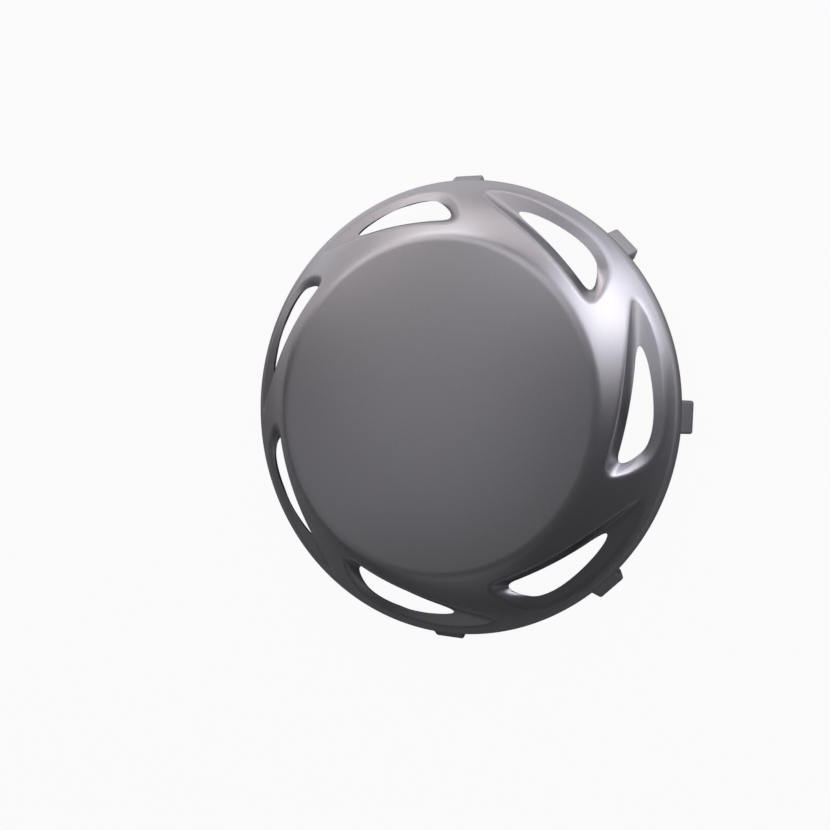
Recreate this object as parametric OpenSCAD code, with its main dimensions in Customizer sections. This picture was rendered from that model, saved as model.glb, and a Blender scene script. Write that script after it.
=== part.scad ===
// Wheel hub cover: a domed disc with seven swept vent pockets round its shoulder
// and eight snap legs under its rim, moulded in one piece. Millimetres, +Z up.
// The origin is on the axis, in the plane of the leg ends the cover rests on.

/* [Dome] */
// Radius of the rim
rim_r = 139; // [132:1:150]
// Height of the straight band at the foot of the rim
band_h = 2.9; // [2:0.1:4]
// Radius of the rounding above the band
rim_round = 8.6; // [6:0.1:12]
// Slope of the shoulder just above the rim rounding, in degrees
shoulder_slope = 47.1; // [44:0.1:50]
// Radius of the shoulder arc
shoulder_arc = 133.6; // [115:0.1:150]
// Slope of the shoulder where it meets the disc, in degrees
disc_edge_slope = 29; // [26:0.1:31]
// Radius of the blend from the shoulder to the disc
disc_blend = 16; // [10:0.5:20]
// Slope of the disc at its edge, in degrees
disc_slope = 3; // [2:0.1:4]
// Wall thickness
wall = 2.6; // [2.2:0.1:3]

/* [Vent pockets] */
// Number of pockets
pockets = 7; // [5:1:7]
// Turn of the middle pocket from the +X axis, in degrees
pocket_turn = 2.2; // [-10:0.1:10]
// Pocket tip, angle from the line of the pocket
tip_a = 31.3; // [30:0.1:31.5]
// Pocket tip, distance from the axis
tip_r = 133.6; // [132:0.1:134.5]
// Corner of the wide end near the disc, angle
near_a = -20.7; // [-22:0.1:-20]
// Corner of the wide end near the disc, distance from the axis
near_r = 108.5; // [107:0.1:110]
// Corner of the wide end near the rim, angle
far_a = -11.5; // [-13:0.1:-10]
// Corner of the wide end near the rim, distance from the axis
far_r = 132.7; // [131.5:0.1:133.5]
// Bow of the side next to the disc, angle
side_bow_a = 15.2; // [13:0.1:17]
// Bow of the side next to the disc, distance from the axis
side_bow_r = 108.8; // [107:0.1:111]
// Bow of the wide end, angle
end_bow_a = -19.9; // [-21:0.1:-18]
// Bow of the wide end, distance from the axis
end_bow_r = 120.5; // [118:0.1:122]
// Rounding of the edge between dome and pocket
edge_round = 1.5; // [0.8:0.1:1.8]

/* [Vent openings] */
// Opening tip, angle from the line of the pocket
slot_tip_a = 21.2; // [20:0.1:22.5]
// Opening tip, distance from the axis
slot_tip_r = 124.8; // [124.5:0.1:126]
// Opening corner near the disc, angle
slot_near_a = -17.1; // [-18:0.1:-16.5]
// Opening corner near the disc, distance from the axis
slot_near_r = 111.6; // [111:0.1:113]
// Opening corner near the rim, angle
slot_far_a = -8.1; // [-9:0.1:-7]
// Opening corner near the rim, distance from the axis
slot_far_r = 126.9; // [126:0.1:127.5]
// Bow of the opening side next to the disc, angle
slot_side_a = 1.6; // [0:0.1:4]
// Bow of the opening side next to the disc, distance from the axis
slot_side_r = 111.3; // [110.5:0.1:113]
// Bow of the opening end, angle
slot_end_a = -14.2; // [-15:0.1:-13]
// Bow of the opening end, distance from the axis
slot_end_r = 121; // [119:0.1:122]
// Depth of the opening edge below the dome near the rim
slot_depth = 3.8; // [3.4:0.1:4.6]
// Extra depth for each millimetre nearer the axis
slot_sink = 0.386; // [0.3:0.01:0.42]
// Extra depth for each degree towards the pocket tip
slot_tilt = 0.052; // [0.03:0.002:0.07]

/* [Snap legs] */
// Number of snap legs
legs = 8; // [6:1:10]
// Width of a leg
leg_w = 19; // [14:0.5:22]
// Length of the legs below the rim
leg_drop = 14; // [12:0.5:18]
// Reach of the barb beyond the rim
barb_reach = 5; // [3:0.1:5.5]
// Depth of the barb edge below the rim
barb_drop = 7.2; // [6:0.1:9.5]
// Rounding of the barb edge
barb_round = 1.1; // [0.4:0.1:1.4]
// Height of the top of a leg above the foot of the rim
leg_root = 1.5; // [1:0.1:2.5]
// Distance of the top of a barb in from the face of the rim
heel_in = 0.8; // [0.4:0.1:1.2]
// Thickness of a leg at its end
leg_t = 3.2; // [2.5:0.1:4]
// Bevel on the two ends of a leg
leg_bevel = 1; // [0.3:0.1:1.2]
// Thickness of the stiffening rib behind a leg
rib_t = 1.8; // [1.5:0.1:2.5]
// Length of the rib inwards from the rim wall
rib_run = 7; // [5:0.5:8]
// Height of the rib above the foot of the rim
rib_rise = 8; // [7:0.5:10]
// Distance of the rib foot above the end of the leg
rib_foot = 4; // [3:0.5:6]
// Depth of the rib at its inner end
rib_end = 3; // [2:0.5:4]

/* [Hidden] */

// Step from the inside of the rim in to the back of a leg.
leg_step = 0.5;
// Overlap of a rib with what it stands on, and slope of its top edge.
rib_root = 0.4;
rib_slope = 0.8;

// Levels above and below every pocket, where the spaces cut into the dome end.
cap_z = 60;
cut_z = 4;
// Level and share of the narrow foot that closes the block round a pocket.
block_z = 8;
block_share = 0.5;
// Run of the pocket wall past the dome and past the opening edge, trimmed later.
run_over = 1.5;
run_under = 2;
// Depth of the opening through the wall, in wall thicknesses.
through = 1.4;

// Facets round the dome, and their turn, which keeps their edges clear of the
// corners of the pockets.
columns = 112;
facet_turn = 0.8;
sweep = 360 / pockets;
leg_back = rim_r - wall - leg_step;

// Shares of each pocket side that its corner roundings take, in the order
// tip on the disc side, near corner on the disc side, near corner on the end,
// far corner on the end, far corner on the rim side, tip on the rim side.
pocket_shares = [0.109, 0.085, 0.218, 0.243, 0.184, 0.413];
slot_shares = [0.236, 0.109, 0.303, 0.25, 0.261, 0.4];
// Points on half a corner, the disc side, the end and the rim side.
counts = [3, 8, 3, 8];
// Steps of the rounding, shoulder, blend and disc, outside and inside.
outer_steps = [3, 6, 3, 1];
inner_steps = [1, 4, 1, 1];

// Centres and radii of the arcs of the dome section, rim first. A point of an
// arc is centre + radius * [sin(v), cos(v)], where v is the slope of the surface.
round_c = [rim_r - rim_round, band_h];
shoulder_c = round_c + (rim_round - shoulder_arc) * normal(shoulder_slope);
blend_c = shoulder_c + (shoulder_arc - disc_blend) * normal(disc_edge_slope);
disc_edge = blend_c + disc_blend * normal(disc_slope);
disc_arc = disc_edge[0] / sin(disc_slope);
disc_c = disc_edge - disc_arc * normal(disc_slope);

function normal(v) = [sin(v), cos(v)];

function arc(c, r, from, to, steps) = [
    for (i = [0:steps])
        let (v = from + (to - from) * i / steps)
            c + r * normal(v)
];

// Section of the dome set in by t, from the rim foot to the axis.
function section(t, steps) = concat(
    [[rim_r - t, 0]],
    arc(round_c, rim_round - t, 90, shoulder_slope, steps[0]),
    drop_first(arc(shoulder_c, shoulder_arc - t, shoulder_slope, disc_edge_slope, steps[1])),
    drop_first(arc(blend_c, disc_blend - t, disc_edge_slope, disc_slope, steps[2])),
    drop_first(arc(disc_c, disc_arc - t, disc_slope, 0, steps[3]))
);

function drop_first(list) = [for (i = [1:len(list) - 1]) list[i]];

function height_on(c, r, x) = c[1] + sqrt(max(0, r * r - (x - c[0]) * (x - c[0])));

// Height of the dome surface at distance x from the axis.
function dome_z(x) =
    x > (round_c + rim_round * normal(shoulder_slope))[0] ? height_on(round_c, rim_round, x) :
    x > (shoulder_c + shoulder_arc * normal(disc_edge_slope))[0] ? height_on(shoulder_c, shoulder_arc, x) :
    x > disc_edge[0] ? height_on(blend_c, disc_blend, x) :
    height_on(disc_c, disc_arc, x);

// Point at share u of the curve from p to s that bows towards q.
function bow(p, q, s, u) = (1 - u) * (1 - u) * p + 2 * u * (1 - u) * q + u * u * s;

function run(p, q, s, from, to, n) = [
    for (i = [0:n - 1])
        bow(p, q, s, from + (to - from) * i / n)
];

// Rounded three-cornered outline as [angle, distance] points, anticlockwise from
// the middle of the tip along the disc side, the wide end and the rim side.
function outline(tip, near, far, side_q, end_q, s) =
    let (
        mid = (far + tip) / 2,
        side_a = bow(tip, side_q, near, s[0]),
        side_b = bow(tip, side_q, near, 1 - s[1]),
        end_a = bow(near, end_q, far, s[2]),
        end_b = bow(near, end_q, far, 1 - s[3]),
        rim_a = bow(far, mid, tip, s[4]),
        rim_b = bow(far, mid, tip, 1 - s[5])
    )
    concat(
        run(rim_b, tip, side_a, 0.5, 1, counts[0]),
        run(tip, side_q, near, s[0], 1 - s[1], counts[1]),
        run(side_b, near, end_a, 0, 1, 2 * counts[0]),
        run(near, end_q, far, s[2], 1 - s[3], counts[2]),
        run(end_b, far, rim_a, 0, 1, 2 * counts[0]),
        run(far, mid, tip, s[4], 1 - s[5], counts[3]),
        run(rim_b, tip, side_a, 0, 0.5, counts[0])
    );

function on_axis_frame(p, z) = [p[1] * cos(p[0]), p[1] * sin(p[0]), z];

function unit(v) = v / norm(v);

function next(list, i) = list[(i + 1) % len(list)];
function previous(list, i) = list[(i + len(list) - 1) % len(list)];

// Depth of the opening edge below the dome for an [angle, distance] point.
function sink(p) = slot_depth + slot_sink * (slot_tip_r - p[1]) + slot_tilt * p[0];

pocket_line = outline(
    [tip_a, tip_r], [near_a, near_r], [far_a, far_r],
    [side_bow_a, side_bow_r], [end_bow_a, end_bow_r], pocket_shares
);
slot_line = outline(
    [slot_tip_a, slot_tip_r], [slot_near_a, slot_near_r], [slot_far_a, slot_far_r],
    [slot_side_a, slot_side_r], [slot_end_a, slot_end_r], slot_shares
);

// Top edge of the pocket on the dome, and edge of the opening on its floor.
brim = [for (p = pocket_line) on_axis_frame(p, dome_z(p[1]))];
lip = [for (p = slot_line) on_axis_frame(p, dome_z(p[1]) - sink(p))];
// Unit vectors down the pocket wall, and out of the wall into the pocket.
fall = [for (i = [0:len(brim) - 1]) unit(lip[i] - brim[i])];
facing = [
    for (i = [0:len(brim) - 1])
        let (along = next(brim, i) - previous(brim, i) + next(lip, i) - previous(lip, i))
            unit(cross(along, fall[i]))
];

// Brim moved out over the dome by d, for the rounding of its edge.
function spread(d) = [
    for (i = [0:len(brim) - 1])
        let (
            along = next(brim, i) - previous(brim, i),
            out = unit([along[1], -along[0]]),
            x = brim[i][0] + d * out[0],
            y = brim[i][1] + d * out[1]
        )
            [x, y, dome_z(norm([x, y]))]
];

function at_height(ring, z) = [for (p = ring) [p[0], p[1], z]];
function shifted(ring, dirs, d) = [for (i = [0:len(ring) - 1]) ring[i] + d * dirs[i]];
function halfway(ring) = [for (i = [0:len(ring) - 1]) (ring[i] + next(ring, i)) / 2];
function shrunk(ring, share, z) =
    let (mid = (ring[0] + ring[floor(len(ring) / 2)]) / 2)
        [for (p = ring) concat([for (i = [0:1]) mid[i] + share * (p[i] - mid[i])], z)];

// Closed solid through rings of equal point count, top ring first. The top and
// bottom rings are level.
module ring_solid(rings) {
    n = len(rings[0]);
    last = (len(rings) - 1) * n;
    points = [for (ring = rings) for (p = ring) p];
    sides = [
        for (j = [0:len(rings) - 2])
            for (i = [0:n - 1])
                let (
                    a = j * n + i,
                    b = j * n + (i + 1) % n,
                    falling = norm(points[a] - points[b + n]) < norm(points[b] - points[a + n])
                )
                    for (face = falling ? [[a, b, b + n], [a, b + n, a + n]] : [[a, b, a + n], [b, b + n, a + n]])
                        face
    ];
    top = [for (i = [n - 1:-1:0]) i];
    bottom = [for (i = [0:n - 1]) last + i];
    polyhedron(points, concat(sides, [top, bottom]), convexity = 6);
}

// Space of one pocket and of the opening through its floor.
module pocket_space() {
    edge_out = spread(edge_round);
    edge_in = shifted(brim, fall, edge_round);
    edge_mid = [for (i = [0:len(brim) - 1]) (edge_out[i] + edge_in[i] + 2 * brim[i]) / 4];
    below = shifted(lip, facing, -through * wall);
    ring_solid([
        at_height(edge_out, cap_z),
        edge_out,
        edge_mid,
        edge_in,
        lip,
        below,
        at_height(below, cut_z)
    ]);
}

// Wall round one pocket, before the pocket space is taken out of it.
module pocket_wall() {
    top = halfway(shifted(shifted(brim, facing, -wall), fall, -run_over));
    foot = halfway(shifted(shifted(lip, facing, -wall), fall, run_under));
    ring_solid([
        at_height(top, cap_z),
        top,
        foot,
        shrunk(foot, block_share, block_z)
    ]);
}

module each_pocket() {
    for (k = [0:pockets - 1]) {
        rotate([0, 0, pocket_turn + k * sweep]) children();
    }
}

module turned(section) {
    rotate([0, 0, facet_turn])
        rotate_extrude($fn = columns)
            polygon(section);
}

module dome_body() {
    turned(concat([[0, 0]], section(0, outer_steps)));
}

module hollow() {
    turned(concat([[0, -1], [rim_r - wall, -1]], section(wall, inner_steps)));
}

// Cup of the cover: dome, hollow inside, swept pockets with their openings.
module cup() {
    difference() {
        dome_body();
        difference() {
            hollow();
            each_pocket() pocket_wall();
        }
        each_pocket() pocket_space();
    }
}

// Section of a snap leg across the rim: barb face, rounded barb edge, lead-in.
function leg_section() =
    let (
        heel = [rim_r - heel_in, leg_root],
        barb = [rim_r + barb_reach, -barb_drop],
        toe = [leg_back + leg_t, -leg_drop],
        a = barb + barb_round * unit(heel - barb),
        b = barb + barb_round * unit(toe - barb)
    )
    concat(
        [[leg_back, leg_root], heel],
        [for (u = [0:0.25:1]) bow(a, barb, b, u)],
        [toe, [leg_back, -leg_drop]]
    );

module leg_slice(w, inset) {
    rotate([90, 0, 0])
        linear_extrude(height = w, center = true)
            offset(delta = -inset)
                polygon(leg_section());
}

// Upright rib from the back of a leg to the inside of the shoulder.
module rib() {
    back = rim_r - wall + rib_root;
    inner = back - rib_run;
    top = rib_rise + rib_slope * rib_run;
    rotate([90, 0, 0])
        linear_extrude(height = rib_t, center = true)
            polygon([
                [back, rib_foot - leg_drop],
                [back, rib_rise],
                [inner, top],
                [inner, top - rib_end],
                [back - rib_end, 1.5 * rib_foot - leg_drop]
            ]);
}

module snap_leg() {
    hull() {
        leg_slice(leg_w - 2 * leg_bevel, 0);
        leg_slice(leg_w, leg_bevel);
    }
    rib();
}

module wheel_cover() {
    color([0.66, 0.66, 0.69]) {
        translate([0, 0, leg_drop]) {
            cup();
            for (k = [0:legs - 1]) {
                rotate([0, 0, k * 360 / legs]) snap_leg();
            }
        }
    }
}

wheel_cover();
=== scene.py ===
import bpy
import math
import numpy as np
from mathutils import Euler, Matrix, Vector
from mathutils.geometry import delaunay_2d_cdt


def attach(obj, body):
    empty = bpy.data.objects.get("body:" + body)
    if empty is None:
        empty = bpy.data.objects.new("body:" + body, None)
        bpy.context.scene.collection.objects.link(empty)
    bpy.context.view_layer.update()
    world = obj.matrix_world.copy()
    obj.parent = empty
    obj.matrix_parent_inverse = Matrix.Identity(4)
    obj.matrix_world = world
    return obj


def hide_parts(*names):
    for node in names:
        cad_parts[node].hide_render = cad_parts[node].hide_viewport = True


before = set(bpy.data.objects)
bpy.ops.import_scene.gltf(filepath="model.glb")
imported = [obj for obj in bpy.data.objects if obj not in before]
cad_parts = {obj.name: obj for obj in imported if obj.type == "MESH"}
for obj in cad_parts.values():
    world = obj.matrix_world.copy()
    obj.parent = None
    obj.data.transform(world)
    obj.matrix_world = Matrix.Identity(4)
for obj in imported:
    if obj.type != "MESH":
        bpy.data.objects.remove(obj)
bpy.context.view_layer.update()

# Sizes of the cover, in millimetres and degrees. They are those of the part's source, where
# EDGE_ROUND and LEG_BEVEL are a little smaller and FOOT_EDGE, LIP_ROUND and UNDERCUT are left
# out. Heights are above the rim's lower edge until the mesh is written, where LEG_DROP lifts
# the cover onto its legs.

# Rim, shoulder, blend and disc: the radius of each arc and the slope at its inner end.
RIM_R, BAND_H, RIM_ROUND, FOOT_EDGE = 139.0, 2.9, 8.6, 0.35
SHOULDER_SLOPE, SHOULDER_ARC = 47.1, 133.6
EDGE_SLOPE, DISC_BLEND, DISC_SLOPE = 29.0, 16.0, 3.0
WALL = 2.6

# Vent pockets: corners and bows of their outline, as (angle, distance from the axis).
POCKETS, POCKET_TURN = 7, 2.2
TIP, NEAR, FAR = (31.3, 133.6), (-20.7, 108.5), (-11.5, 132.7)
SIDE_BOW, END_BOW = (15.2, 108.8), (-19.9, 120.5)
# Openings in the pockets, the same way. Their edge lies SLOT_DEPTH below the dome near the rim,
# more by SLOT_SINK for each millimetre inwards and by SLOT_TILT for each degree towards the tip.
SLOT_TIP, SLOT_NEAR, SLOT_FAR = (21.2, 124.8), (-17.1, 111.6), (-8.1, 126.9)
SLOT_SIDE_BOW, SLOT_END_BOW = (1.6, 111.3), (-14.2, 121.0)
SLOT_DEPTH, SLOT_SINK, SLOT_TILT = 3.8, 0.386, 0.052
# Shares of each side that the corner roundings take: tip and near corner on the disc side,
# near and far corner on the end, far corner and tip on the rim side.
SHARES = (0.109, 0.085, 0.218, 0.243, 0.184, 0.413)
SLOT_SHARES = (0.236, 0.109, 0.303, 0.25, 0.261, 0.4)
# Rounding of the pockets' top edge and of the lip, and the lean of the lip under the wall.
EDGE_ROUND, LIP_ROUND, UNDERCUT = 2.1, 0.25, 40.0

# Snap legs, their barbs, and the ribs behind them.
LEGS, LEG_W, LEG_T, LEG_DROP = 8, 19.0, 3.2, 14.0
LEG_BEVEL, LEG_STEP, LEG_ROOT, HEEL_IN = 1.5, 0.5, 1.5, 0.8
BARB_REACH, BARB_DROP, BARB_ROUND = 5.0, 7.2, 1.1
RIB_T, RIB_RUN, RIB_RISE, RIB_FOOT, RIB_END = 1.8, 7.0, 8.0, 4.0, 3.0
RIB_ROOT, RIB_SLOPE, RIB_BEVEL = 0.4, 0.8, 0.3

# Fineness of the mesh: columns round the axis, then steps of half a corner, the disc side, the
# end and the rim side of an outline, then steps down the pocket wall and round the small edges.
COLUMNS = 560
OUTLINE_STEPS = (7, 46, 18, 46)
EDGE_STEPS, WALL_STEPS, LIP_STEPS, BACK_STEPS = 7, 10, 4, 5
BACK_LIP_SHARES = (0, 0.33, 0.67, 1)
BARB_STEPS, LEG_BEVEL_STEPS, RIB_BEVEL_STEPS = 8, 3, 1
# Every ring of grid points has a multiple of RING_UNIT, so each pocket meets the same grid.
# The disc's grid ends at DISC_GRID. Grid points up to POCKET_REACH from the middle of a pocket
# stay only where they are GRID_GAP clear of its edge.
RING_UNIT, DISC_GRID, GRID_GAP, POCKET_REACH = 4 * POCKETS, 94, 0.75, 60
# Rounds that smooth the facing of a pocket's wall and the length of the wall's back.
FACING_SMOOTH, BACK_SMOOTH = 2, 1
# Longest and shortest wall back that is looked for, and halvings of the search.
BACK_SEARCH, LEAST_BACK, HALVINGS = 22.0, 1.0, 40
# Edges of legs and ribs flatter than this are shaded smooth, and the least share of the depth
# that counts where two of their sides are moved in at a corner.
SMOOTH_LIMIT, LEAST_MITRE = 38.0, 0.3
# Tolerances: of a distance, of a vector with no direction, and of the triangulation.
CLOSE, SHORT, TOUCHING = 1e-9, 1e-12, 1e-7
# Decimals of a millimetre at which two points of the mesh, or two corners of a leg, are one.
POINT_DECIMALS, CORNER_DECIMALS = 4, 5
MM_IN_METRE = 1000


def direction(slope):
    """Unit (distance, height) normal of a surface that slopes by so many degrees."""
    return np.array([math.sin(math.radians(slope)), math.cos(math.radians(slope))])


ROUND_C = np.array([RIM_R - RIM_ROUND, BAND_H])
SHOULDER_C = ROUND_C + (RIM_ROUND - SHOULDER_ARC) * direction(SHOULDER_SLOPE)
BLEND_C = SHOULDER_C + (SHOULDER_ARC - DISC_BLEND) * direction(EDGE_SLOPE)
DISC_EDGE = BLEND_C + DISC_BLEND * direction(DISC_SLOPE)
DISC_ARC = DISC_EDGE[0] / math.sin(math.radians(DISC_SLOPE))
DISC_C = DISC_EDGE - DISC_ARC * direction(DISC_SLOPE)
# Centre, radius and inner slope of each arc of the dome.
ARCS = ((ROUND_C, RIM_ROUND, SHOULDER_SLOPE), (SHOULDER_C, SHOULDER_ARC, EDGE_SLOPE),
        (BLEND_C, DISC_BLEND, DISC_SLOPE), (DISC_C, DISC_ARC, 0.0))

# Circles where the outer and the inner skin of the shoulder meet the rim's rounding.
OUTER_CIRCLE = ROUND_C[0] + RIM_ROUND * math.sin(math.radians(SHOULDER_SLOPE))
INNER_CIRCLE = ROUND_C[0] + (RIM_ROUND - WALL) * math.sin(math.radians(SHOULDER_SLOPE))
POCKET_TURNS = [math.radians(POCKET_TURN + k * 360 / POCKETS) for k in range(POCKETS)]
LEG_TURNS = [k * 2 * math.pi / LEGS for k in range(LEGS)]
LEG_BACK = RIM_R - WALL - LEG_STEP


def dome(distance, inset=0.0):
    """Height and unit normal (outwards, upwards) of the dome's surface, set in by inset."""
    distance = np.asarray(distance, float)
    height = np.zeros_like(distance)
    outwards = np.zeros_like(distance)
    upwards = np.ones_like(distance)
    done = np.zeros(distance.shape, bool)
    for centre, radius, slope in ARCS:
        r = radius - inset
        here = ~done & (distance >= centre[0] + r * math.sin(math.radians(slope)) - CLOSE)
        rise = np.sqrt(np.maximum(r * r - (distance - centre[0]) ** 2, 0))
        height = np.where(here, centre[1] + rise, height)
        outwards = np.where(here, (distance - centre[0]) / r, outwards)
        upwards = np.where(here, rise / r, upwards)
        done |= here
    return height, outwards, upwards


def on_dome(points, inset=0.0):
    """Points and normals on the dome over plan points."""
    distance = np.hypot(points[:, 0], points[:, 1])
    height, outwards, upwards = dome(distance, inset)
    away = points / np.maximum(distance, CLOSE)[:, None]
    return np.column_stack([points, height]), np.column_stack([outwards[:, None] * away, upwards])


def bow(start, pull, end, share):
    """Curve from start to end that leans towards pull, at one share of its run or at several."""
    u = np.asarray(share, float)[..., None]
    start, pull, end = (np.asarray(point, float) for point in (start, pull, end))
    return (1 - u) ** 2 * start + 2 * u * (1 - u) * pull + u * u * end


def outline(tip, near, far, side_bow, end_bow, shares):
    """Rounded three-cornered outline as (angle, distance), anticlockwise from mid tip."""
    rim_bow = (np.array(far) + np.array(tip)) / 2
    side, end, rim = (tip, side_bow, near), (near, end_bow, far), (far, rim_bow, tip)
    side_a, side_b = bow(*side, shares[0]), bow(*side, 1 - shares[1])
    end_a, end_b = bow(*end, shares[2]), bow(*end, 1 - shares[3])
    rim_a, rim_b = bow(*rim, shares[4]), bow(*rim, 1 - shares[5])
    tip_corner, near_corner, far_corner = (rim_b, tip, side_a), (side_b, near, end_a), (end_b, far, rim_a)
    half_n, side_n, end_n, rim_n = OUTLINE_STEPS

    def run(curve, first, last, count):
        return bow(*curve, np.linspace(first, last, count + 1)[:-1])

    return np.vstack([
        run(tip_corner, 0.5, 1, half_n),
        run(side, shares[0], 1 - shares[1], side_n),
        run(near_corner, 0, 1, 2 * half_n),
        run(end, shares[2], 1 - shares[3], end_n),
        run(far_corner, 0, 1, 2 * half_n),
        run(rim, shares[4], 1 - shares[5], rim_n),
        run(tip_corner, 0, 0.5, half_n)])


def plan(polar):
    """Plan points of (angle, distance) points."""
    a = np.radians(polar[:, 0])
    return np.column_stack([polar[:, 1] * np.cos(a), polar[:, 1] * np.sin(a)])


def unit(vector):
    """Each vector at length one."""
    return vector / np.maximum(np.linalg.norm(vector, axis=-1, keepdims=True), SHORT)


def along(ring):
    """Direction of a closed ring at each of its points."""
    return np.roll(ring, -1, axis=0) - np.roll(ring, 1, axis=0)


def smooth(ring, times):
    """Closed ring with each value drawn towards its neighbours."""
    for _ in range(times):
        ring = (np.roll(ring, -1, axis=0) + 2 * ring + np.roll(ring, 1, axis=0)) / 4
    return ring


def steps(count):
    """Even shares from one step past the start to the end."""
    return np.linspace(0, 1, count + 1)[1:]


def back_length(back, fall):
    """How far the back of the pocket wall runs up to the inner skin, for each column."""
    low, high = np.zeros(len(back)), np.full(len(back), BACK_SEARCH)
    for _ in range(HALVINGS):
        middle = (low + high) / 2
        point = back - middle[:, None] * fall
        under = point[:, 2] < dome(np.hypot(point[:, 0], point[:, 1]), WALL)[0]
        low, high = np.where(under, middle, low), np.where(under, high, middle)
    return np.maximum(smooth(low, BACK_SMOOTH), LEAST_BACK)[:, None]


def pocket_rings():
    """Rings down the pocket wall from the dome, round the lip, and up the back of the wall."""
    slot = outline(SLOT_TIP, SLOT_NEAR, SLOT_FAR, SLOT_SIDE_BOW, SLOT_END_BOW, SLOT_SHARES)
    brim = on_dome(plan(outline(TIP, NEAR, FAR, SIDE_BOW, END_BOW, SHARES)))[0]
    lip = on_dome(plan(slot))[0]
    lip[:, 2] -= SLOT_DEPTH + SLOT_SINK * (SLOT_TIP[1] - slot[:, 1]) + SLOT_TILT * slot[:, 0]
    fall = unit(lip - brim)
    facing = unit(smooth(unit(np.cross(along(brim) + along(lip), fall)), FACING_SMOOTH))

    brim_run = along(brim)[:, :2]
    out = unit(np.column_stack([brim_run[:, 1], -brim_run[:, 0]]))
    edge_out = on_dome(brim[:, :2] + EDGE_ROUND * out)[0]
    edge_in = brim + EDGE_ROUND * fall
    rings = [edge_out] + [bow(edge_out, brim, edge_in, u) for u in steps(EDGE_STEPS)]

    lip_in = lip - LIP_ROUND * fall
    rings += [edge_in + (lip_in - edge_in) * u for u in steps(WALL_STEPS)]

    # The lip's end face leans back under the wall, so the opening shows a thin edge.
    lean = facing + math.tan(math.radians(UNDERCUT)) * fall
    face = lip - LIP_ROUND * unit(lean)
    rings += [bow(lip_in, lip, face, u) for u in steps(LIP_STEPS)]
    back = lip - WALL * lean
    back_in = back + LIP_ROUND * unit(lean)
    back_up = back - LIP_ROUND * fall
    rings += [bow(back_in, back, back_up, u) for u in BACK_LIP_SHARES]

    meet = back - back_length(back, fall) * fall
    meet[:, 2] = dome(np.hypot(meet[:, 0], meet[:, 1]), WALL)[0]
    rings += [back_up + (meet - back_up) * u for u in steps(BACK_STEPS)]
    return np.array(rings)


def ring_normals(rings):
    """Normals of a grid of closed rings, out of the material."""
    down = np.gradient(rings, axis=0)
    onwards = np.roll(rings, -1, axis=1) - np.roll(rings, 1, axis=1)
    return unit(np.cross(onwards, down))


# Points, faces and normals of each part of the mesh.
parts = []


def add(points, faces, normals):
    """Takes points (n, 3), faces (m, 3 or 4) and a normal for each face corner (m, 3 or 4, 3)."""
    parts.append((np.asarray(points, float), np.asarray(faces, int), np.asarray(normals, float)))


def add_grid(points, normals, flip=False):
    """Grid of closed rings (rings, columns, 3) with a normal for each point."""
    rows, columns = points.shape[:2]
    i, j = np.meshgrid(np.arange(rows - 1), np.arange(columns), indexing="ij")
    a = (i * columns + j).ravel()
    b = (i * columns + (j + 1) % columns).ravel()
    c, d = b + columns, a + columns
    faces = np.column_stack([a, b, c, d] if flip else [a, d, c, b])
    add(points.reshape(-1, 3), faces, normals.reshape(-1, 3)[faces])


def turned(points, angle):
    """Points or normals turned round the axis by an angle in radians."""
    c, s = math.cos(angle), math.sin(angle)
    return points @ np.array([[c, s, 0], [-s, c, 0], [0, 0, 1]])


def inside(points, loop):
    """True for each plan point inside a closed plan loop."""
    near = np.all((points > loop.min(0)) & (points < loop.max(0)), axis=1)
    x, y = points[near, 0][:, None], points[near, 1][:, None]
    x0, y0 = loop.T[:, None]
    x1, y1 = np.roll(loop, -1, axis=0).T[:, None]
    rise = np.where(y1 == y0, 1.0, y1 - y0)
    crossed = ((y0 > y) != (y1 > y)) & (x < (x1 - x0) * (y - y0) / rise + x0)
    result = np.zeros(len(points), bool)
    result[near] = crossed.sum(1) % 2 == 1
    return result


def disc_rings(first, step, density):
    """Rings (distance, points) over the disc, with more points as the distance grows."""
    return [(r, RING_UNIT * (1 + int(r * density) // RING_UNIT)) for r in np.arange(first, DISC_GRID, step)]


def even_rings(first, last, step, units):
    """Rings (distance, points) from first to last, each with that many RING_UNITs of points."""
    return [(r, RING_UNIT * units) for r in np.arange(first, last, step)]


def ring_points(distance, count, phase):
    """Plan points evenly round a circle, the first one phase steps on from +X."""
    a = (np.arange(count) + phase) * 2 * math.pi / count
    return np.column_stack([distance * np.cos(a), distance * np.sin(a)])


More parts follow.
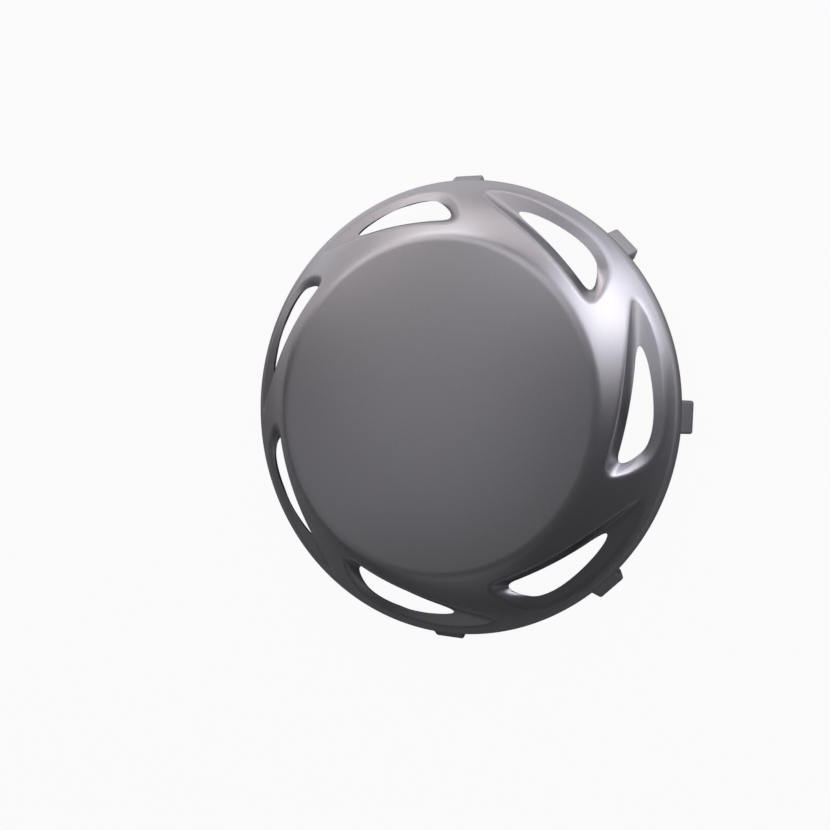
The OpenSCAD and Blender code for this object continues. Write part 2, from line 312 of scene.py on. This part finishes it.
def add_skin(pocket_edge, circle_r, grid_rings, inset, faces_up):
    """Dome surface inside a circle, with all the pockets cut out, and its exact normals."""
    loops = [turned(pocket_edge, turn)[:, :2] for turn in POCKET_TURNS]
    grid = np.vstack([np.zeros((1, 2))] + [ring_points(r, count, 0.5) for r, count in grid_rings])
    keep = np.ones(len(grid), bool)
    for loop in loops:
        keep &= ~inside(grid, loop)
        close = np.hypot(*(grid - loop.mean(0)).T) < POCKET_REACH
        apart = grid[close][:, None, :] - loop[None]
        keep[close] &= np.sqrt((apart ** 2).sum(2).min(1)) > GRID_GAP
    points = np.vstack([ring_points(circle_r, COLUMNS, 0), *loops, grid[keep]])
    edges, start = [], 0
    for count in [COLUMNS] + [len(loop) for loop in loops]:
        edges += [(start + i, start + (i + 1) % count) for i in range(count)]
        start += count
    found = delaunay_2d_cdt([Vector(p) for p in points.tolist()], edges, [], 0, TOUCHING)
    points = np.array([tuple(p) for p in found[0]])
    triangles = np.array([tuple(t) for t in found[2] if len(t) == 3])
    middles = points[triangles].mean(1)
    cut = np.zeros(len(triangles), bool)
    for loop in loops:
        cut |= inside(middles, loop)
    triangles = triangles[~cut]
    a, b = (points[triangles[:, i]] - points[triangles[:, 0]] for i in (1, 2))
    wrong = (a[:, 0] * b[:, 1] - a[:, 1] * b[:, 0] > 0) != faces_up
    triangles[wrong] = triangles[wrong][:, ::-1]
    points, normals = on_dome(points, inset)
    add(points, triangles, (normals if faces_up else -normals)[triangles])


def add_shell():
    """Outer skin, its grid finest where the dome bends, inner skin, and the pockets between."""
    rings = pocket_rings()
    outer_grid = disc_rings(first=6, step=6, density=1.6)
    outer_grid += even_rings(first=95.2, last=104.2, step=0.9, units=10)
    outer_grid += even_rings(first=105.6, last=OUTER_CIRCLE - 0.6, step=1.8, units=13)
    add_skin(rings[0], OUTER_CIRCLE, outer_grid, inset=0.0, faces_up=True)
    inner_grid = disc_rings(first=10, step=12, density=0.9)
    inner_grid += even_rings(first=95, last=104, step=1.5, units=6)
    inner_grid += even_rings(first=106, last=INNER_CIRCLE - 1, step=3.6, units=7)
    add_skin(rings[-1], INNER_CIRCLE, inner_grid, inset=WALL, faces_up=False)
    # The dome's own normals at the pockets' brim keep the surface smooth there.
    normals = ring_normals(rings)
    normals[0] = on_dome(rings[0][:, :2])[1]
    for turn in POCKET_TURNS:
        add_grid(turned(rings, turn), turned(normals, turn), flip=True)


def swept(section):
    """Rings round the axis from (distance, height) rows."""
    a = np.arange(COLUMNS) * 2 * math.pi / COLUMNS
    distance, height = section[:, :1], section[:, 1:]
    return np.stack([distance * np.cos(a), distance * np.sin(a), height + 0 * a], axis=2)


def add_rim():
    """Rounding above the band, foot with its small edges, and the inside of the rim."""
    outer_foot = np.array([RIM_R - FOOT_EDGE, FOOT_EDGE])
    inner_foot = np.array([RIM_R - WALL + FOOT_EDGE, FOOT_EDGE])
    # Centre, radius, first slope, last slope and points of each arc, and the side it shows.
    arcs = ((ROUND_C, RIM_ROUND, SHOULDER_SLOPE, 90, 9, 1),
            (outer_foot, FOOT_EDGE, 90, 180, 5, 1),
            (inner_foot, FOOT_EDGE, 180, 270, 5, 1),
            (ROUND_C, RIM_ROUND - WALL, 90, SHOULDER_SLOPE, 6, -1))
    section, normals = [], []
    for centre, radius, first, last, count, side in arcs:
        for slope in np.linspace(first, last, count):
            section.append(centre + radius * direction(slope))
            normals.append(side * direction(slope))
    add_grid(swept(np.array(section)), swept(np.array(normals)))


def inset_section(section, depth):
    """Convex section with each side moved in by a depth."""
    edge = unit(np.roll(section, -1, axis=0) - section)
    normal = np.column_stack([edge[:, 1], -edge[:, 0]])
    mitre = unit(normal + np.roll(normal, 1, axis=0))
    share = (mitre * normal).sum(1, keepdims=True)
    return section - mitre * depth / np.maximum(share, LEAST_MITRE)


def corner_normals(points, faces):
    """Normals for each face corner, smooth over edges flatter than SMOOTH_LIMIT."""
    spots = {}
    spot = [spots.setdefault(tuple(np.round(p, CORNER_DECIMALS)), len(spots)) for p in points]
    flat, meeting = [], {}
    for i, face in enumerate(faces):
        loop = points[list(face)]
        flat.append(sum(np.cross(a, b) for a, b in zip(loop, np.roll(loop, -1, axis=0))))
        for corner in face:
            meeting.setdefault(spot[corner], []).append(i)
    least = math.cos(math.radians(SMOOTH_LIMIT))

    def blended(own, corner):
        return unit(sum(flat[j] for j in meeting[spot[corner]] if unit(flat[j]) @ own > least))

    return [[blended(unit(flat[i]), corner) for corner in face] for i, face in enumerate(faces)]


def add_slab(section, width, bevel, bevel_steps, turn):
    """Convex anticlockwise (distance, height) section, drawn out sideways with rounded ends."""
    bends = [math.radians(a) for a in np.linspace(0, 90, bevel_steps + 1)]
    layers = [(width / 2 - bevel * (1 - math.cos(a)), bevel * (1 - math.sin(a))) for a in bends]
    layers = sorted(layers + [(-place, depth) for place, depth in layers])
    points = [np.insert(inset_section(section, depth), 1, place, axis=1) for place, depth in layers]
    middle = section.mean(0)
    caps = [[middle[0], place, middle[1]] for place in (layers[0][0], layers[-1][0])]
    points = np.vstack(points + [caps])
    n, last = len(section), (len(layers) - 1) * len(section)
    first_cap, last_cap = last + n, last + n + 1
    sides = [((i + 1) * n + j, (i + 1) * n + (j + 1) % n, i * n + (j + 1) % n, i * n + j)
             for i in range(len(layers) - 1) for j in range(n)]
    ends = [((j + 1) % n, first_cap, j) for j in range(n)]
    ends += [(last + j, last_cap, last + (j + 1) % n) for j in range(n)]
    normals = corner_normals(points, sides + ends)
    for faces, at_corners in ((sides, normals[:len(sides)]), (ends, normals[len(sides):])):
        add(turned(points, turn), faces, turned(np.array(at_corners), turn))


def leg_section():
    """Section of a leg with its barb, as (distance, height) points, anticlockwise."""
    heel = np.array([RIM_R - HEEL_IN, LEG_ROOT])
    barb = np.array([RIM_R + BARB_REACH, -BARB_DROP])
    toe = np.array([LEG_BACK + LEG_T, -LEG_DROP])
    above, below = barb + BARB_ROUND * unit(heel - barb), barb + BARB_ROUND * unit(toe - barb)
    edge = bow(above, barb, below, np.linspace(0, 1, BARB_STEPS + 1))
    loop = np.vstack([[LEG_BACK, LEG_ROOT], heel, edge, toe, [LEG_BACK, -LEG_DROP]])
    return loop[::-1]


def rib_section():
    """Section of the upright rib from the back of a leg to the inside of the shoulder."""
    back = RIM_R - WALL + RIB_ROOT
    inner = back - RIB_RUN
    top = RIB_RISE + RIB_SLOPE * RIB_RUN
    return np.array([[back, RIB_FOOT - LEG_DROP], [back, RIB_RISE], [inner, top],
                     [inner, top - RIB_END], [back - RIB_END, 1.5 * RIB_FOOT - LEG_DROP]])


def add_legs():
    """Snap legs and the ribs behind them."""
    for turn in LEG_TURNS:
        add_slab(leg_section(), LEG_W, LEG_BEVEL, LEG_BEVEL_STEPS, turn)
        add_slab(rib_section(), RIB_T, RIB_BEVEL, RIB_BEVEL_STEPS, turn)


def build_mesh(name):
    """One mesh of all the parts, with points that coincide made one, standing on its legs."""
    points = np.vstack([part[0] for part in parts])
    faces, corners, start = [], [], 0
    for part_points, part_faces, part_normals in parts:
        faces += (part_faces + start).tolist()
        corners.append(part_normals.reshape(-1, 3))
        start += len(part_points)
    corners = unit(np.vstack(corners))
    _, first, same = np.unique(np.round(points, POINT_DECIMALS), axis=0, return_index=True,
                               return_inverse=True)
    same = same.ravel()
    kept_faces, kept_normals, start = [], [], 0
    for face in faces:
        joined = [int(same[v]) for v in face]
        distinct = [i for i in range(len(joined)) if joined[i] != joined[i - 1]]
        if len(set(joined)) >= 3:
            kept_faces.append([joined[i] for i in distinct])
            kept_normals += [corners[start + i] for i in distinct]
        start += len(face)
    points = points[first]
    points[:, 2] += LEG_DROP
    mesh = bpy.data.meshes.new(name)
    mesh.from_pydata((points / MM_IN_METRE).tolist(), [], kept_faces)
    mesh.polygons.foreach_set("use_smooth", [True] * len(mesh.polygons))
    mesh.normals_split_custom_set([tuple(n) for n in kept_normals])
    mesh.update()
    obj = bpy.data.objects.new(name, mesh)
    bpy.context.scene.collection.objects.link(obj)
    return obj


# Coat: colours of its darkest and lightest flake, roughness likewise, and how metallic it is.
COAT_DARK, COAT_LIGHT = (0.377, 0.368, 0.396), (0.427, 0.417, 0.448)
COAT_ROUGH, COAT_METALLIC = (0.31, 0.35), 0.88
# Grain of the flake and of the slow cloudiness left by the spraying, and the run of each
# noise over which colour or roughness changes.
FLAKE_GRAIN = {"Scale": 1900.0, "Detail": 2.0, "Roughness": 0.6}
CLOUD_GRAIN = {"Scale": 14.0, "Detail": 3.0, "Roughness": 0.5}
FLAKE_RUN, ROUGH_RUN, CLOUD_RUN = (0.36, 0.64), (0.3, 0.7), (0.3, 0.7)
CLOUD_DARK, CLOUD_LIGHT = (0.97, 0.97, 0.975), (1.0, 1.0, 1.0)
FLAKE_BUMP = {"Strength": 0.05, "Distance": 0.0002}
# Sockets of a colour mix: factor, both colours, and the result.
MIX_FACTOR, MIX_A, MIX_B, MIX_RESULT = 0, 6, 7, 2


def node(tree, kind, **inputs):
    """New node with constant values on its named sockets."""
    new = tree.nodes.new(kind)
    for name, value in inputs.items():
        new.inputs[name].default_value = value
    return new


def ramp(tree, factor, run, dark, light):
    """Colour that goes from dark to light over a run of the factor."""
    new = tree.nodes.new("ShaderNodeValToRGB")
    for stop, position, colour in zip(new.color_ramp.elements, run, (dark, light)):
        stop.position, stop.color = position, (*colour, 1)
    tree.links.new(factor, new.inputs["Fac"])
    return new.outputs["Color"]


def satin_silver(name):
    """Satin metallic coat with fine flake and slow cloudiness."""
    mat = bpy.data.materials.new(name)
    mat.use_nodes = True
    tree = mat.node_tree
    bsdf = tree.nodes["Principled BSDF"]
    where = tree.nodes.new("ShaderNodeTexCoord")
    flake = node(tree, "ShaderNodeTexNoise", **FLAKE_GRAIN)
    cloud = node(tree, "ShaderNodeTexNoise", **CLOUD_GRAIN)
    for noise in (flake, cloud):
        tree.links.new(where.outputs["Object"], noise.inputs["Vector"])

    mix = tree.nodes.new("ShaderNodeMix")
    mix.data_type, mix.blend_type = "RGBA", "MULTIPLY"
    mix.inputs[MIX_FACTOR].default_value = 1.0
    tint = ramp(tree, flake.outputs["Fac"], FLAKE_RUN, COAT_DARK, COAT_LIGHT)
    shade = ramp(tree, cloud.outputs["Fac"], CLOUD_RUN, CLOUD_DARK, CLOUD_LIGHT)
    tree.links.new(tint, mix.inputs[MIX_A])
    tree.links.new(shade, mix.inputs[MIX_B])
    tree.links.new(mix.outputs[MIX_RESULT], bsdf.inputs["Base Color"])

    rough = tree.nodes.new("ShaderNodeMapRange")
    rough.inputs["From Min"].default_value, rough.inputs["From Max"].default_value = ROUGH_RUN
    rough.inputs["To Min"].default_value, rough.inputs["To Max"].default_value = COAT_ROUGH
    tree.links.new(flake.outputs["Fac"], rough.inputs["Value"])
    tree.links.new(rough.outputs["Result"], bsdf.inputs["Roughness"])
    bsdf.inputs["Metallic"].default_value = COAT_METALLIC

    bump = node(tree, "ShaderNodeBump", **FLAKE_BUMP)
    tree.links.new(flake.outputs["Fac"], bump.inputs["Height"])
    tree.links.new(bump.outputs["Normal"], bsdf.inputs["Normal"])
    return mat


# Floor: half its width and its height in metres, a hair below the leg ends, its roughness,
# grain and tones, and the share of plain white in it.
FLOOR_HALF, FLOOR_Z, FLOOR_ROUGH = 6.0, -0.0002, 0.9
FLOOR_GRAIN = {"Scale": 40.0, "Detail": 2.0}
FLOOR_DARK, FLOOR_LIGHT, FLOOR_WHITE = (0.28, 0.28, 0.28), (0.32, 0.32, 0.32), 0.95
# Metal sees the floor as dim within two rounds, painted shade in its reflections of the floor: a
# wide one on the side away from the lamps, much wider than the cover's own shadow there, and a
# painted contact shadow under and close round the cover. Each has its middle and its soft edge,
# from the last dim place to the first white one, in metres.
SHADE_ROUND_AT, SHADE_ROUND_EDGE = (-0.17, -1.19, 0), (1.24, 1.34)
CONTACT_SHADE_AT, CONTACT_SHADE_EDGE = (0, 0, 0), (0.12, 0.19)


def white_floor():
    """Floor that the camera sees as white, and metal too outside the two rounds of painted shade."""
    h, z = FLOOR_HALF, FLOOR_Z
    mesh = bpy.data.meshes.new("studio_floor")
    mesh.from_pydata([(-h, -h, z), (h, -h, z), (h, h, z), (-h, h, z)], [], [(0, 1, 2, 3)])
    floor = bpy.data.objects.new("studio_floor", mesh)
    bpy.context.scene.collection.objects.link(floor)
    mat = bpy.data.materials.new("studio_white")
    mat.use_nodes = True
    tree = mat.node_tree
    bsdf, out = tree.nodes["Principled BSDF"], tree.nodes["Material Output"]
    bsdf.inputs["Roughness"].default_value = FLOOR_ROUGH
    grain = node(tree, "ShaderNodeTexNoise", **FLOOR_GRAIN)
    tone = ramp(tree, grain.outputs["Fac"], (0, 1), FLOOR_DARK, FLOOR_LIGHT)
    tree.links.new(tone, bsdf.inputs["Base Color"])
    path = tree.nodes.new("ShaderNodeLightPath")
    where = tree.nodes.new("ShaderNodeNewGeometry")

    def combined(operation, a, b):
        """Result of an operation on two sockets, or on a socket and a number."""
        new = tree.nodes.new("ShaderNodeMath")
        new.operation = operation
        for socket, value in zip(new.inputs, (a, b)):
            if isinstance(value, float):
                socket.default_value = value
            else:
                tree.links.new(value, socket)
        return new.outputs[0]

    def beyond(middle, run):
        """0 to 1 as the distance from the middle goes from the start to the end of the run."""
        away = tree.nodes.new("ShaderNodeVectorMath")
        away.operation = "DISTANCE"
        away.inputs[1].default_value = middle
        tree.links.new(where.outputs["Position"], away.inputs[0])
        lit = tree.nodes.new("ShaderNodeMapRange")
        lit.interpolation_type = "SMOOTHSTEP"
        lit.inputs["From Min"].default_value, lit.inputs["From Max"].default_value = run
        tree.links.new(away.outputs["Value"], lit.inputs["Value"])
        return lit.outputs["Result"]

    mirrored = combined("MAXIMUM", path.outputs["Is Glossy Ray"], path.outputs["Is Transmission Ray"])
    # Painted shade: within the two rounds metal sees the floor without its white glow.
    mirrored = combined("MULTIPLY", mirrored, beyond(SHADE_ROUND_AT, SHADE_ROUND_EDGE))
    mirrored = combined("MULTIPLY", mirrored, beyond(CONTACT_SHADE_AT, CONTACT_SHADE_EDGE))
    seen = combined("MAXIMUM", path.outputs["Is Camera Ray"], mirrored)
    glow = node(tree, "ShaderNodeEmission", Strength=1.0)
    blend = tree.nodes.new("ShaderNodeMixShader")
    tree.links.new(combined("MULTIPLY", seen, FLOOR_WHITE), blend.inputs[0])
    tree.links.new(bsdf.outputs[0], blend.inputs[1])
    tree.links.new(glow.outputs[0], blend.inputs[2])
    tree.links.new(blend.outputs[0], out.inputs["Surface"])
    mesh.materials.append(mat)


# World: colour and strength of its dim light, and the white that the camera sees.
AMBIENT = {"Color": (0.93, 0.94, 1.0, 1), "Strength": 0.05}
WORLD_WHITE = {"Color": (1, 1, 1, 1), "Strength": 0.96}


def studio_world():
    """Dim studio walls, which the camera sees as plain white."""
    world = bpy.data.worlds.new("studio_world")
    bpy.context.scene.world = world
    world.use_nodes = True
    tree = world.node_tree
    ambient = tree.nodes["Background"]
    for name, value in AMBIENT.items():
        ambient.inputs[name].default_value = value
    white = node(tree, "ShaderNodeBackground", **WORLD_WHITE)
    path = tree.nodes.new("ShaderNodeLightPath")
    blend = tree.nodes.new("ShaderNodeMixShader")
    tree.links.new(path.outputs["Is Camera Ray"], blend.inputs[0])
    tree.links.new(ambient.outputs[0], blend.inputs[1])
    tree.links.new(white.outputs[0], blend.inputs[2])
    tree.links.new(blend.outputs[0], tree.nodes["World Output"].inputs["Surface"])


# Lamps, all at one distance from the middle of the leg ends, in metres.
LAMP_AWAY = 1.4
WARM, WHITE, COOL = (1.07, 1.0, 0.96), (1.0, 1.0, 1.0), (1.0, 1.0, 1.06)
# Name, azimuth and elevation in degrees, width and height in metres, watts, colour.
SOFTBOXES = (
    ("key_right", 37, 16, 0.80, 0.60, 3.00, COOL),
    ("key_middle", 42, 30, 0.50, 0.45, 1.70, WHITE),
    ("key_high", 50, 42, 0.70, 0.60, 2.40, COOL),
    ("key_upper", 61, 18, 0.70, 0.60, 1.90, COOL),
    ("edge_right", 25, 42, 0.40, 0.50, 0.70, WHITE),
    ("rear_low", 92, 21, 0.70, 0.60, 1.80, WARM),
    ("rear_side", 120, 16, 0.70, 0.60, 1.60, WARM),
    ("rear_narrow", 114, 31, 0.45, 0.40, 1.50, WHITE),
    ("rear_left", 140, 42, 0.70, 0.60, 2.15, WARM),
    ("left_low", 150, 16, 0.70, 0.60, 1.05, WARM),
    ("rear_high", 97, 63, 0.70, 0.60, 1.70, WHITE),
    ("left_high", 180, 66, 0.70, 0.60, 0.50, WHITE),
    ("left_fill", 200, 35, 0.80, 0.70, 0.40, WHITE),
    ("front_fill", 255, 35, 0.80, 0.70, 0.25, WHITE))


def softbox(name, azimuth, elevation, width, height, watts, colour):
    """Area lamp aimed at the cover, at an azimuth from +X and an elevation, in degrees."""
    lamp = bpy.data.lights.new(name, "AREA")
    lamp.shape, lamp.size, lamp.size_y = "RECTANGLE", width, height
    lamp.energy, lamp.color = watts, colour
    obj = bpy.data.objects.new(name, lamp)
    a, e = math.radians(azimuth), math.radians(elevation)
    toward = Vector((math.cos(a) * math.cos(e), math.sin(a) * math.cos(e), math.sin(e)))
    obj.location = toward * LAMP_AWAY
    obj.rotation_euler = toward.to_track_quat("Z", "Y").to_euler()
    bpy.context.scene.collection.objects.link(obj)


# The photo's viewpoint, found from the outline of the cover: place in millimetres in the
# part's frame, turns about X, Y and Z in degrees, focal length and film width in millimetres.
CAM_AT, CAM_TURNS = (264.09, 5.56, 625.55), (0.1191, 25.4768, 2.5698)
CAM_LENS, CAM_FILM = 46.784, 36.0
CAM_CLIP = (0.01, 30)


def place_camera():
    """Camera at the photo's viewpoint."""
    cam = bpy.data.cameras.new("camera")
    obj = bpy.data.objects.new("camera", cam)
    bpy.context.scene.collection.objects.link(obj)
    cam.sensor_fit, cam.sensor_width, cam.lens = "HORIZONTAL", CAM_FILM, CAM_LENS
    cam.clip_start, cam.clip_end = CAM_CLIP
    turns = Euler([math.radians(a) for a in CAM_TURNS])
    obj.matrix_world = Matrix.LocRotScale(Vector(CAM_AT) / MM_IN_METRE, turns, None)
    bpy.context.scene.camera = obj


add_shell()
add_rim()
add_legs()
cover = build_mesh("wheel_cover_moulding")
cover.data.materials.append(satin_silver("satin_silver_coat"))
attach(cover, "root")
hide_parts("wheel_cover")

white_floor()
studio_world()
for row in SOFTBOXES:
    softbox(*row)
place_camera()
bpy.context.scene.view_settings.view_transform = "Standard"
